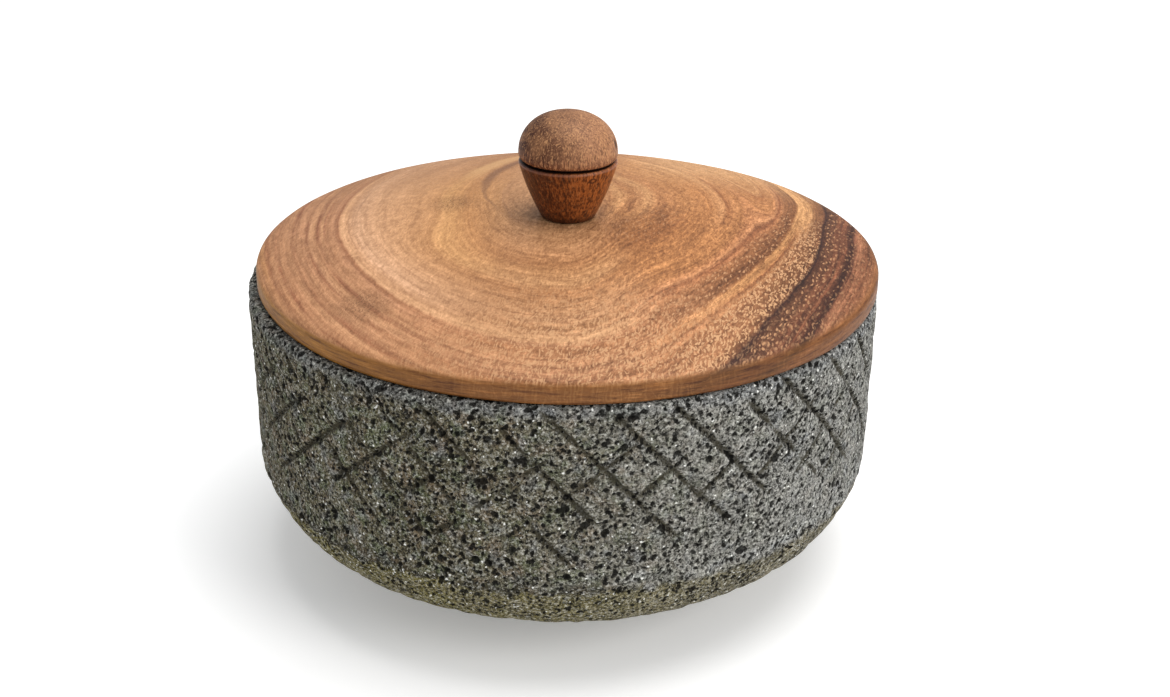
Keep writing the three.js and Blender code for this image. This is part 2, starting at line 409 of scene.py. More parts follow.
def make_stone():
    rng = np.random.default_rng(STONE_SEED)
    foot, outside, hollow = stone_outline()
    rows = np.vstack([foot[:-1], outside, hollow[1:]])
    fine_from, fine_to = len(foot) - 1, len(foot) - 1 + len(outside)
    columns = np.full(len(rows), STONE_COLUMNS // 2)
    columns[fine_from:fine_to] = STONE_COLUMNS
    columns[:fine_from - 1] = STONE_COLUMNS // 4
    stone = Turned(rows, columns)
    outer = (stone.row_of >= fine_from) & (stone.row_of < fine_to)
    pit = np.full(len(stone.points), PIT_REACH)
    pit[outer] = pit_field(stone, fine_from, fine_to, rng)
    groove, cut = groove_field(stone, rng)
    wall = outer & (stone.normals[:, 2] < 0.7)
    groove = np.where(wall, groove, PIT_REACH)
    cut = np.where(wall, cut, 0)
    ripple = uneven(stone.points, (38, 1, 0.35), (12, 2, 0.16), (4.5, 3, 0.18), (1.8, 4, 0.11))
    height = stone.points[:, 2]
    near_arris = np.exp(-((height - ARRIS_HEIGHT + CHIPS_BELOW_ARRIS) / CHIPS_REACH) ** 2)
    chips = smoothstep(0.15, 0.6, value_noise(stone.points, 6 * MM, 61)) * 0.9
    chips += smoothstep(0.2, 0.6, value_noise(stone.points, 2.4 * MM, 62)) * 0.4
    ripple = ripple + near_arris * (0.35 - chips) * MM
    lift = np.where(outer, ripple, uneven(stone.points, (9, 5, 0.25)))
    sits = stone.row_of < fine_from
    lift = np.where(sits, np.minimum(lift, 0) * 0.5, lift)
    pit_depth = np.where(pit < 0, np.minimum(-pit * PIT_STEEPNESS, PIT_DEPTH), 0)
    stone.push(lift - cut - pit_depth)
    height = np.clip(stone.points[:, 2], 0, BOWL_HEIGHT)
    tilt = RIM_TILT * smoothstep(RIM_TILT_FROM, BOWL_HEIGHT, height)
    stone.points[:, 2] = height - tilt * stone.points[:, 0]
    parts = {"pit": pit / MM, "groove": groove / MM, "hollow": (stone.row_of >= fine_to).astype(float)}
    split = (stone.along[fine_from], stone.along[fine_to - 1])

    def place(turned, row, share, face_share):
        """Four strips of the outside low on the map, the hollow and the foot as discs above."""
        strip = np.floor(face_share * 4)
        width, height = TURN * RIM_RADIUS / 4, split[1] - split[0]
        across = (share * 4 - strip) * width + (strip % 2) * (width + STRIP_GAP)
        up = turned.along[row] - split[0] + np.floor(strip / 2) * (height + STRIP_GAP)
        outside_uv = np.column_stack([across, up]) + STRIP_GAP / 2
        spread = np.column_stack([np.sin(share * TURN), np.cos(share * TURN)])
        from_foot = turned.along[row][:, None]
        foot_uv = FOOT_ON_MAP + from_foot * FOOT_SHRUNK * spread
        hollow_uv = HOLLOW_ON_MAP + (turned.along[-1] - from_foot) * HOLLOW_SHRUNK * spread
        is_hollow = (row > fine_to - 1)[:, None]
        is_foot = (row < fine_from)[:, None]
        return np.where(is_hollow, hollow_uv, np.where(is_foot, foot_uv, outside_uv)) / MAP_SPAN

    return stone.build("stone_bowl_carved", place, parts)


# ---- lid ----

LID_EDGE_HEIGHT = 5.9 * MM
LID_CROWN_RISE = 10.3 * MM
LID_LOWER_ROUND = 1.1 * MM
LID_UPPER_ROUND = 1.8 * MM
SPIGOT_RADIUS = 75.5 * MM
SPIGOT_DEPTH = 3 * MM
SPIGOT_ROUND = 0.6 * MM
KNOB_SEAT_RADIUS = 9.2 * MM
SCREW_HOLE_RADIUS = 2.3 * MM
SINK_RADIUS = 4.4 * MM
SINK_STRAIGHT = 0.82 * MM
CROWN_START = LID_LOW.z + SPIGOT_DEPTH + LID_EDGE_HEIGHT


def crown_height(radius):
    return CROWN_START + LID_CROWN_RISE * (1 - (radius / LID_RADIUS) ** 2)


def lid_outline():
    under = LID_LOW.z + SPIGOT_DEPTH
    bottom = LID_LOW.z
    crown_radius = LID_RADIUS - LID_UPPER_ROUND
    radii = np.linspace(crown_radius, KNOB_SEAT_RADIUS, 60)
    seat = crown_height(KNOB_SEAT_RADIUS)
    sink_top = bottom + SINK_STRAIGHT
    hole = (SCREW_HOLE_RADIUS, sink_top + SINK_RADIUS - SCREW_HOLE_RADIUS)
    loop = np.vstack([
        [hole, (SINK_RADIUS, sink_top), (SINK_RADIUS, bottom)],
        corner((SPIGOT_RADIUS - SPIGOT_ROUND, bottom), (SPIGOT_RADIUS, bottom),
               (SPIGOT_RADIUS, bottom + SPIGOT_ROUND)),
        [(SPIGOT_RADIUS, under)],
        corner((LID_RADIUS - LID_LOWER_ROUND, under), (LID_RADIUS, under),
               (LID_RADIUS, under + LID_LOWER_ROUND)),
        corner((LID_RADIUS, CROWN_START - LID_UPPER_ROUND), (LID_RADIUS, CROWN_START),
               (crown_radius, crown_height(crown_radius))),
        np.column_stack([radii, crown_height(radii)]),
        [(SCREW_HOLE_RADIUS, seat), hole],
    ])
    return respace(loop, 0.9 * MM)


def make_lid():
    rows = lid_outline()
    columns = 512
    lid = Turned(rows, [columns] * len(rows), LID_CENTRE_X)
    soft = smoothstep(12 * MM, 40 * MM, np.hypot(lid.points[:, 0], lid.points[:, 1]))
    closed = (lid.row_of > 0) & (lid.row_of < len(rows) - 1)
    lid.push(uneven(lid.points, (45, 8, 0.22), (14, 9, 0.05)) * soft * closed)
    lid.settle()
    split = int(np.argmax(rows[:, 0] > LID_RADIUS - 0.1 * MM))
    return lid.build("lid_turned", two_disc_place(split))


# ---- knob ----

KNOB_BASE_RADIUS = 7.9 * MM
KNOB_CONE_RADIUS = 14.3 * MM
KNOB_CONE_FULLNESS = 1.1 * MM
GROOVE_HEIGHT = KNOB_LOW.z + 17.3 * MM
GROOVE_WIDTH = 0.8 * MM
GROOVE_IN = 2.2 * MM
GROOVE_BEVEL = 0.5 * MM
GROOVE_TO_BASE = (KNOB_LOW.z - GROOVE_HEIGHT) / MM
DENT_ANGLE = math.radians(80)  # a bruise on the dome's right
DENT_ABOVE_GROOVE = 5 * MM
DENT_RADIUS = 1.2 * MM
DENT_DEPTH = 0.45 * MM
KNOT_ANGLE = math.radians(30)  # a pin knot just under the groove
KNOT_BELOW_GROOVE = 3.1 * MM
DOME_TUCK = 0.45 * MM
DOME_WIDEST = 1.1 * MM
DOME_SQUARENESS = 2.12  # 2 is an ellipse
PILOT_TOP = SCREW_HIGH.z + 2 * MM


def knob_outline():
    foot, head = GROOVE_HEIGHT - GROOVE_WIDTH / 2, GROOVE_HEIGHT + GROOVE_WIDTH / 2
    cone_top, widest = foot - GROOVE_BEVEL, head + DOME_WIDEST
    base = KNOB_LOW.z
    cone = corner((KNOB_BASE_RADIUS + 0.15 * MM, base + 0.5 * MM),
                  ((KNOB_BASE_RADIUS + KNOB_CONE_RADIUS) / 2 + KNOB_CONE_FULLNESS, (base + cone_top) / 2),
                  (KNOB_CONE_RADIUS - 0.1 * MM, cone_top - 0.3 * MM), 24)
    turn = np.linspace(0, math.pi / 2, 48)
    power = 2 / DOME_SQUARENESS
    dome = np.column_stack([KNOB_RADIUS * np.cos(turn) ** power,
                            widest + (KNOB_HIGH.z - widest) * np.sin(turn) ** power])
    dome[-1, 0] = 0
    return respace(np.vstack([
        [(0, PILOT_TOP), (SCREW_HOLE_RADIUS, PILOT_TOP - SCREW_HOLE_RADIUS), (SCREW_HOLE_RADIUS, base)],
        corner((KNOB_BASE_RADIUS - 0.3 * MM, base), (KNOB_BASE_RADIUS, base), cone[0]),
        cone,
        corner(cone[-1], (KNOB_CONE_RADIUS, cone_top + 0.1 * MM), (KNOB_CONE_RADIUS - GROOVE_BEVEL, foot)),
        [(KNOB_CONE_RADIUS - GROOVE_IN, GROOVE_HEIGHT),
         (KNOB_RADIUS - DOME_TUCK - 0.3 * MM, head - 0.2 * MM)],
        corner((KNOB_RADIUS - DOME_TUCK, head), (KNOB_RADIUS, head + DOME_WIDEST / 2), dome[0]),
        dome[1:],
    ]), 0.35 * MM)


def make_knob():
    rows = knob_outline()
    knob = Turned(rows, [256] * len(rows), LID_CENTRE_X)
    shown = knob.points[:, 2] > KNOB_LOW.z + 2 * MM
    shown &= np.hypot(knob.points[:, 0], knob.points[:, 1]) > SCREW_HOLE_RADIUS + 0.1 * MM
    shown |= knob.points[:, 2] > PILOT_TOP + MM
    wave = uneven(knob.points, (11, 14, 0.12))
    height = knob.points[:, 2] - GROOVE_HEIGHT
    reach = np.hypot((knob.angle - DENT_ANGLE) * KNOB_RADIUS, (height - DENT_ABOVE_GROOVE) * 0.6)
    dent = np.exp(-(reach / DENT_RADIUS) ** 2) * (height > 0)
    knob.push(wave * shown - DENT_DEPTH * dent)
    knob.settle()
    return knob.build("knob_turned", strip_place(2))


# ---- screw ----

THREAD_PITCH = 1.8 * MM
THREAD_ROOT = 1.35 * MM
THREAD_CREST = 2.0 * MM
SHANK_LENGTH = 9 * MM
SCREW_TIP = 4 * MM
RECESS_SPAN = 4.6 * MM
RECESS_WIDTH = 1.0 * MM
RECESS_DEPTH = 1.5 * MM


def make_screw():
    """A countersunk wood screw, head down: a turned head and shank, with the thread raised as a helix."""
    head, tip = SCREW_LOW.z, SCREW_HIGH.z
    cone_top = head + 0.3 * MM + SCREW_HEAD_RADIUS - THREAD_CREST
    shank_end = head + SHANK_LENGTH
    outline = np.vstack([
        respace([(0, head), (SCREW_HEAD_RADIUS - 0.15 * MM, head)], 0.6 * MM),
        respace([(SCREW_HEAD_RADIUS, head + 0.15 * MM), (SCREW_HEAD_RADIUS, head + 0.3 * MM),
                 (THREAD_CREST, cone_top)], 0.3 * MM),
        respace([(THREAD_CREST, cone_top + 0.1 * MM), (THREAD_CREST, shank_end)], 0.5 * MM),
        respace([(THREAD_ROOT, shank_end + 0.6 * MM), (THREAD_ROOT, tip - SCREW_TIP),
                 (0.15 * MM, tip - 0.05 * MM)], 0.15 * MM),
        [(0, tip)],
    ])
    screw = Turned(outline, [64] * len(outline), LID_CENTRE_X)
    height = screw.points[:, 2]
    phase = ((height - head) / THREAD_PITCH - screw.share) % 1
    ridge = np.clip(1 - np.abs(phase - 0.5) / 0.28, 0, 1) ** 0.8
    threaded = smoothstep(shank_end, shank_end + 1.5 * MM, height)
    threaded *= 1 - smoothstep(tip - SCREW_TIP, tip - 0.5 * MM, height)
    out = (THREAD_CREST - THREAD_ROOT) * ridge * threaded
    radial = np.column_stack([np.sin(screw.angle), -np.cos(screw.angle)])
    screw.points[:, :2] += radial * out[:, None]
    screw.settle()
    piece = screw.build("knob_screw_threaded", strip_place(2))
    for size in ((RECESS_SPAN, RECESS_WIDTH), (RECESS_WIDTH, RECESS_SPAN)):
        cut_box(piece, (LID_CENTRE_X, 0, head), (*size, 2 * RECESS_DEPTH))
    return piece


def cut_box(piece, centre, size):
    """Cuts a box out of a piece."""
    corners = [tuple(c + s / 2 * e for c, s, e in zip(centre, size, ends))
               for ends in itertools.product((-1, 1), repeat=3)]
    faces = [(0, 1, 3, 2), (4, 6, 7, 5), (0, 4, 5, 1), (2, 3, 7, 6), (0, 2, 6, 4), (1, 5, 7, 3)]
    mesh = bpy.data.meshes.new("cutter")
    mesh.from_pydata(corners, [], faces)
    cutter = added("cutter", mesh)
    cut = piece.modifiers.new("recess", "BOOLEAN")
    cut.operation, cut.solver, cut.object = "DIFFERENCE", "EXACT", cutter
    depsgraph = bpy.context.evaluated_depsgraph_get()
    piece.data = bpy.data.meshes.new_from_object(
        piece.evaluated_get(depsgraph), preserve_all_data_layers=True, depsgraph=depsgraph)
    piece.modifiers.clear()
    bpy.data.objects.remove(cutter)


# ---- materials ----

LID_LIGHT = 1.4  # the studio light that falls on the lid's top
LID_LIGHT_LEFT = 1.22
LID_LIGHT_RIGHT = 1.5
LID_SHEEN = 0.018


def tint(red, green, blue, light=1.0):
    """The surface colour that shows as this screen colour, 0..255, under this much light."""
    shares = (red / 255, green / 255, blue / 255)
    linear = [c / 12.92 if c <= 0.04045 else ((c + 0.055) / 1.055) ** 2.4 for c in shares]
    return (*(c / light for c in linear), 1.0)


def on_lid(red, green, blue, light=LID_LIGHT):
    """The same on the lid's top, with the sky's sheen taken off."""
    *linear, _ = tint(red, green, blue)
    return (*(max(c - LID_SHEEN, 0.002) / light for c in linear), 1.0)


class Value:
    """A node's output, so that a sum of values can be written as a sum."""

    def __init__(self, look, socket):
        self.look, self.socket = look, socket

    def __rsub__(self, other):
        return self.look.math("SUBTRACT", other, self)

    def __abs__(self):
        return self.look.math("ABSOLUTE", self)

    def root(self):
        return self.look.math("SQRT", self)

    def ease(self, low, high, to_low=0.0, to_high=1.0):
        """From low..high to to_low..to_high with soft ends."""
        return self.look.value("MapRange", {
            "Value": self, "From Min": low, "From Max": high, "To Min": to_low, "To Max": to_high,
        }, interpolation_type="SMOOTHSTEP")

    def band(self, rise, risen, fall, fallen):
        """1 from risen to fall and 0 beyond rise and fallen, with soft ends."""
        return self.ease(rise, risen) * self.ease(fallen, fall)

    def vector_math(self, operation, other=(0, 0, 0), output=0):
        return self.look.value("VectorMath", {0: self, 1: other}, output, operation=operation)

    def scaled(self, factors):
        return self.vector_math("MULTIPLY", factors if isinstance(factors, tuple) else (factors,) * 3)

    def moved(self, by):
        return self.vector_math("ADD", by)

    def length(self):
        return self.vector_math("LENGTH", output="Value")

    def split(self):
        return [Value(self.look, axis) for axis in self.look.node("SeparateXYZ", {0: self}).outputs]

    def larger(self, *others):
        found = self
        for other in others:
            found = self.look.math("MAXIMUM", found, other)
        return found

    def noise(self, scale, detail, roughness=0.5, output="Fac"):
        """Noise from 0 to 1. The scale can be three numbers, one for each axis."""
        vector, scale = (self.scaled(scale), 1) if isinstance(scale, tuple) else (self, scale)
        return self.look.value("TexNoise", {
            "Vector": vector, "Scale": scale, "Detail": detail, "Roughness": roughness}, output)

    def wander(self, scale, detail, span):
        """Noise about zero, span wide."""
        return (self.noise(scale, detail) - 0.5) * span

    def warped(self, scale, detail, span):
        """This vector, moved about by noise that is span wide."""
        noise = self.noise(scale, detail, output="Color")
        return self.moved(noise.moved((-0.5, -0.5, -0.5)).scaled(span))

    def cells(self, scale=1.0, dimensions="3D"):
        """Distance to the nearest of scattered points, and three random numbers of its cell."""
        made = self.look.node("TexVoronoi", {"Vector": self, "Scale": scale}, voronoi_dimensions=dimensions)
        return Value(self.look, made.outputs["Distance"]), *Value(self.look, made.outputs["Color"]).split()


for sign, operation in (("add", "ADD"), ("sub", "SUBTRACT"), ("mul", "MULTIPLY"), ("truediv", "DIVIDE")):
    setattr(Value, f"__{sign}__", lambda self, other, kind=operation: self.look.math(kind, self, other))


class Look:
    """A short way to write a node material. Values and plain numbers can be used alike.

    A colour of three numbers is a screen colour, 0..255, that shade turns into a surface colour.
    """

    def __init__(self, name, shade=tint):
        self.material = bpy.data.materials.new(name)
        self.material.use_nodes = True
        self.tree = self.material.node_tree
        self.tree.nodes.clear()
        self.coordinates = self.value("TexCoord", output="Object")
        self.shade = shade
        self.colour = None

    def node(self, kind, inputs=None, **settings):
        made = self.tree.nodes.new("ShaderNode" + kind)
        for key, value in settings.items():
            setattr(made, key, value)
        for key, value in (inputs or {}).items():
            if isinstance(value, Value):
                self.tree.links.new(value.socket, made.inputs[key])
            else:
                made.inputs[key].default_value = value
        return made

    def value(self, kind, inputs=None, output=0, **settings):
        return Value(self, self.node(kind, inputs, **settings).outputs[output])

    def math(self, operation, a, b=0.0):
        return self.value("Math", {0: a, 1: b}, operation=operation)

    def joined(self, x, y, z):
        return self.value("CombineXYZ", {0: x, 1: y, 2: z})

    def attribute(self, name):
        return self.value("Attribute", output="Fac", attribute_name=name)

    def ramp(self, value, stops):
        made = self.node("ValToRGB", {"Fac": value})
        elements = made.color_ramp.elements
        while len(elements) < len(stops):
            elements.new(1.0)
        for element, (position, colour) in zip(elements, stops):
            element.position = position
            element.color = colour
        return Value(self, made.outputs["Color"])

    def mix(self, share, a, b, blend="MIX"):
        a, b = (self.shade(*c) if isinstance(c, tuple) and len(c) == 3 else c for c in (a, b))
        return self.value("Mix", {0: share, 6: a, 7: b}, 2, data_type="RGBA", blend_type=blend)

    def paint(self, share, colour, blend="MIX"):
        """Lays this share of a colour over the look's colour so far."""
        self.colour = self.mix(share, self.colour, colour, blend)

    def streak(self, noise, share, strength):
        """Darkens and reddens where the noise is low, and brightens where it is high."""
        self.paint(noise.ease(0.49, 0.33) * share * strength, (0.5, 0.41, 0.35, 1), "MULTIPLY")
        self.paint(noise.ease(0.51, 0.67) * share * strength, (1.5, 1.55, 1.65, 1), "MULTIPLY")

    def bump(self, height, strength, distance):
        return self.value("Bump", {"Height": height, "Strength": strength, "Distance": distance})

    def finish(self, roughness, specular, more):
        """Ends the material. more gives further inputs of the shader by their names."""
        shader = self.value("BsdfPrincipled", {
            "Base Color": self.colour, "Roughness": roughness, "Specular IOR Level": specular, **more})
        self.node("OutputMaterial", {"Surface": shader})
        return self.material


def stone_look():
    """Grey vesicular basalt: a wormy grain, vesicles of every size, pale crystals, olive stain, and painted
    shade in the vesicles, in the grooves and under the arris.
    """
    look = Look("volcanic_stone")
    mm = look.coordinates.scaled(1000)
    x, _, z = mm.split()
    level = z + x * RIM_TILT
    bent = mm.warped(1.1, 1, 1.3)

    # Stain: brown and olive to the left and below the arris, neutral grey to the right.
    patch = mm.noise(0.11, 2, 0.6)
    hue = mm.noise(0.19, 2, 0.6, output="Color")
    warm, green, cool = hue.split()
    leftward = (x + patch * 30).ease(80, -20)
    look.colour = look.mix(leftward, (151, 150, 145), (108, 101, 77))
    aged = leftward.ease(0, 1, 0.25, 1)
    look.paint(aged * warm.ease(0.48, 0.68, 0, 0.6), (128, 108, 86))
    look.paint(aged * green.ease(0.48, 0.68, 0, 0.7), (102, 112, 80))
    look.paint(cool.ease(0.52, 0.72, 0, 0.5), (120, 124, 130))
    worn = level.ease(81.5, 84.5) * patch.ease(0.2, 0.6, 0.5, 0.95)
    look.paint(worn * 0.6, (128, 131, 136))
    wavy = mm.wander(0.14, 3, 9)
    below = (z + wavy).ease(33.5, 31)
    olive = look.mix(patch, (138, 128, 96), (112, 104, 78))
    olive = look.mix(leftward * patch.ease(0.3, 0.6, 0.4, 1), olive, (128, 118, 62))
    below = below * (1 - look.attribute("hollow"))
    look.paint(below * 0.85, olive)

    ridge = (z + wavy).band(33.5, 35, 36, 38) * (1 - leftward)
    look.paint(ridge * cool.ease(0.4, 0.55, 0.1, 0.6), (186, 188, 186))
    # A dark band just under the arris on the left: painted shade where the wall overhangs.
    painted_shade_under_arris = (z + wavy).band(31, 32.5, 33.5, 35) * leftward.ease(0.3, 0.8)
    look.paint(painted_shade_under_arris * green.ease(0.42, 0.52, 0.2, 0.7), (52, 46, 34))

    shadowy = mm.noise(0.09, 3, 0.6).ease(0.52, 0.36)
    look.paint(shadowy * 0.45, (0.5, 0.5, 0.47, 1), "MULTIPLY")

    # Grain, from worms half a millimetre wide down to single crystals.
    worms = bent.noise(1.15, 3, 0.75)
    blotch = bent.noise(0.45, 2, 0.6)
    look.paint(worms.ease(0.53, 0.37, 0, 0.9), (30, 29, 25))
    look.paint(blotch.ease(0.46, 0.3, 0, 0.5), (48, 46, 41))
    look.paint(worms.ease(0.53, 0.68, 0, 0.65), (214, 213, 204))
    _, tone, shine, _ = mm.cells(1.9)
    look.paint(tone.ease(0.45, 0.0, 0, 0.5), (46, 45, 41))
    look.paint(tone.ease(0.7, 1.0, 0, 0.3), (196, 196, 190))
    sparkle = shine.ease(0.986, 0.994)
    look.paint(sparkle * 0.9, (240, 240, 234))

    # Small vesicles from cells, large ones from the carved mesh's own distances. The vesicles and the
    # grooves are darkened with painted shade, and the groove floor is browner than the wall.
    ragged = mm.wander(1.9, 2, 0.9)
    groove = look.attribute("groove") + ragged * 2.2
    cut = groove.ease(0.3, -0.45)
    tiny_gap, tiny_size, _, _ = bent.cells(1.6)
    tiny = tiny_gap - tiny_size.ease(0.25, 1.0, 0, 0.4)
    small_gap, small_size, _, _ = bent.cells(0.8)
    small = small_gap - small_size.ease(0.4, 1.0, -0.06, 0.4) + ragged * 0.25 - cut * 0.14
    tiny_hole = tiny.ease(0.08, -0.06)
    small_hole = small.ease(0.06, -0.06)
    hole = (look.attribute("pit") + ragged * 0.55).ease(0.12, -0.08)
    # The groove floor: a browner colour, darkened as painted shade.
    floor = look.mix(patch, (66, 59, 43), (48, 47, 38))
    look.paint(cut * 0.8, floor)
    look.paint(tiny_hole * 0.75, (32, 31, 28))
    look.paint(small_hole * 0.88, (26, 25, 22))
    look.paint(hole * 0.9, (20, 19, 17))

    height = worms * 1.1 + tone * 0.12
    height = height - tiny_hole * 0.4
    height = height - small_hole * 0.8
    height = height - hole * 0.8
    normal = look.bump(height, 0.9, 0.45 * MM)
    roughness = sparkle.ease(0, 1, 0.93, 0.4)
    return look.finish(roughness, 0.12, {"Normal": normal})


# Growth rings, as (thousandths, red, green, blue). A ring has its own width and colour on each side.
LEFT_RINGS = (
    (350, 180, 132, 92), (468, 186, 136, 94), (476, 176, 128, 90), (486, 204, 150, 100),
    (600, 200, 144, 94), (660, 214, 160, 106), (680, 204, 150, 102), (800, 214, 166, 128),
    (825, 204, 154, 114), (840, 224, 172, 128), (850, 162, 110, 78), (862, 190, 138, 102),
    (884, 186, 134, 97), (892, 170, 118, 86), (897, 206, 154, 112), (906, 172, 120, 88),
    (913, 148, 97, 69), (920, 198, 146, 106), (936, 206, 154, 114), (942, 150, 98, 70),
    (949, 186, 134, 98), (968, 196, 144, 106), (980, 170, 118, 86), (987, 152, 100, 72),
    (997, 200, 148, 108), (1026, 182, 130, 94), (1033, 144, 92, 66), (1042, 196, 144, 104),
    (1062, 160, 108, 76), (1070, 188, 136, 94), (1100, 176, 124, 78), (1160, 188, 136, 82),
)
FRONT_RINGS = (
    (450, 208, 156, 112), (540, 200, 147, 104), (600, 188, 133, 90), (630, 198, 144, 98),
    (665, 212, 158, 110), (690, 190, 134, 90), (735, 198, 144, 100), (780, 208, 154, 110),
    (800, 196, 142, 98), (815, 206, 152, 108), (835, 226, 172, 124), (850, 204, 146, 104),
    (862, 170, 116, 78), (880, 196, 140, 98), (925, 208, 150, 108), (945, 180, 124, 84),
    (960, 204, 146, 102), (1000, 192, 136, 92), (1040, 204, 146, 100), (1080, 172, 120, 76),
    (1140, 186, 132, 84),
)
RIGHT_RINGS = (
    (420, 212, 154, 100), (600, 190, 130, 80), (640, 178, 118, 72), (710, 196, 134, 84),
    (785, 198, 136, 86), (806, 210, 144, 96), (812, 226, 160, 110), (820, 160, 100, 66),
    (830, 196, 132, 88), (845, 172, 116, 76), (872, 148, 98, 64), (894, 142, 92, 58),
    (901, 204, 144, 92), (909, 222, 162, 106), (920, 208, 146, 94), (928, 166, 108, 70),
    (936, 204, 144, 96), (948, 176, 120, 80), (985, 156, 106, 70), (1009, 146, 96, 64),
    (1016, 66, 41, 30), (1026, 102, 66, 48), (1050, 128, 84, 60), (1062, 148, 94, 66),
    (1088, 134, 84, 60), (1096, 86, 54, 42), (1108, 78, 48, 38), (1118, 148, 96, 70),
    (1130, 188, 128, 92), (1150, 154, 100, 70), (1180, 184, 124, 86), (1220, 172, 118, 80),
)
INNER_RINGS = (
    (360, 196, 136, 90), (420, 216, 156, 104), (440, 178, 120, 78), (465, 212, 152, 102),
    (490, 186, 126, 80), (510, 226, 168, 114), (530, 194, 134, 88), (560, 230, 172, 118),
    (580, 204, 142, 94), (640, 214, 150, 96), (700, 204, 140, 88), (735, 230, 168, 114),
    (748, 182, 118, 74), (765, 218, 152, 100), (800, 204, 140, 92),
)
RING_SPAN = 1.35
VEIN_TURN = (-0.283, 0.33)  # where the dark vein left of the knob turns back, in lid radii from its axis
SMUDGES = (((-0.6, -0.57), 0.13), ((-0.38, 0.15), 0.12))  # place and reach, in lid radii from its axis


def ring_ramp(look, ring, rings, light):
    return look.ramp(ring / RING_SPAN, [(at / 1000 / RING_SPAN, on_lid(*rgb, light)) for at, *rgb in rings])


def growth_ring(unit):
    """Which growth ring a point of the lid lies in, and how far to the side of the pith it is, -1..1.

    The pith runs under the lid, closest to its top a little behind the knob, so the rings are ovals that
    come to a blunt point at the front.
    """
    u, v, w = unit.split()
    square = u * u + v * v
    under = w * -1 - square * (LID_CROWN_RISE / LID_RADIUS)
    behind = v - 0.2
    bend = (behind * behind + 0.09).root()
    pith = bend * 0.6 + 0.205 + under
    ring = (u * u + pith * pith).root()
    sideways = u / ring
    # On the left the inner rings lie closer to the knob than the outer ones suggest.
    inner = ring.ease(0.8, 0.55) * u.ease(-0.1, -0.4) * v.ease(-0.4, 0.1)
    # On the right they are wider apart, and straighter: the outer ones only towards the front.
    wider = sideways.ease(0.0, 0.42, 0, 0.09)
    from_middle = v + 0.4
    bowed = from_middle * from_middle * ring.ease(0.7, 0.8, 0, -0.26) * sideways.ease(0.05, 0.4)
    outer = ring.ease(0.74, 0.95) * v.ease(-0.45, -0.35)
    bowed = bowed * (1 - outer)
    behind_stripe = ring.ease(0.8, 0.9) * v.ease(0.05, 0.45, 0, -0.06)
    bowed = bowed + behind_stripe * sideways.ease(0.05, 0.4)
    return ring + inner * 0.1 + wider + bowed, sideways


